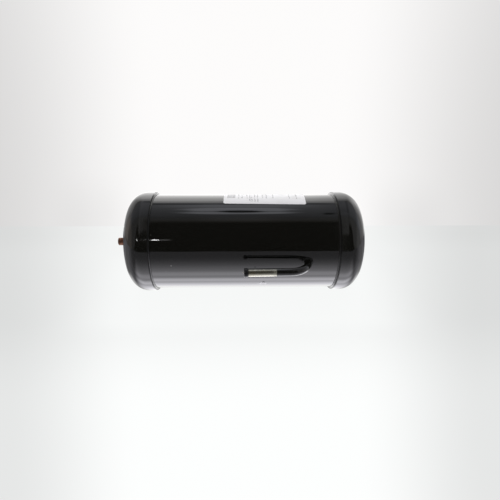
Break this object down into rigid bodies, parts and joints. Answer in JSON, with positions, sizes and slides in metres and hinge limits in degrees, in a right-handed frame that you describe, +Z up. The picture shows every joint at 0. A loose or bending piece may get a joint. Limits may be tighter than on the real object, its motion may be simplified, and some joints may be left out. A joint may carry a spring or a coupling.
{
  "type": "liquid receiver",
  "caption": "Horizontal black steel refrigerant receiver with dished heads welded over the shell, an axial inlet stub, a bent side outlet tube with a pull-off plug, and a label.",
  "frame": {"origin": "the middle of the shell, on its axis", "axes": "+X along the shell towards the head that has no stub, -Y towards the front where the outlet tube leaves, +Z up through the label"},
  "size_m": [0.3329, 0.1615, 0.1342],
  "materials": {
    "gloss_black_shell": "smooth gloss black stoving paint on steel",
    "gloss_black_heads": "gloss black paint over pressed steel, a little more orange peel than the shell",
    "painted_weld": "rippled bead under gloss black paint",
    "copper": "brown oxidised copper tube",
    "outlet_tube_finish": "steel tube, gloss black paint from the vessel to a masked line, bright plating from there to its open end",
    "black_plug": "moulded black bung with a pale moulding pip",
    "white_label": null
  },
  "bodies": {
    "vessel": {"shell": "gloss_black_shell", "left_head": "gloss_black_heads", "right_head": "gloss_black_heads", "left_girth_weld": "painted_weld", "right_girth_weld": "painted_weld", "inlet_stub": "copper", "inlet_braze": "painted_weld", "outlet_tube": "outlet_tube_finish", "outlet_weld": "painted_weld", "label": "white_label"},
    "plug": {"outlet_plug": "black_plug"}
  },
  "joints": [
    {"name": "plug_pull", "type": "slide", "parent": "vessel", "child": "plug", "axis": [-0.9998, -0.0174, -0.0017], "range_m": [0, 0.03]}
  ]
}
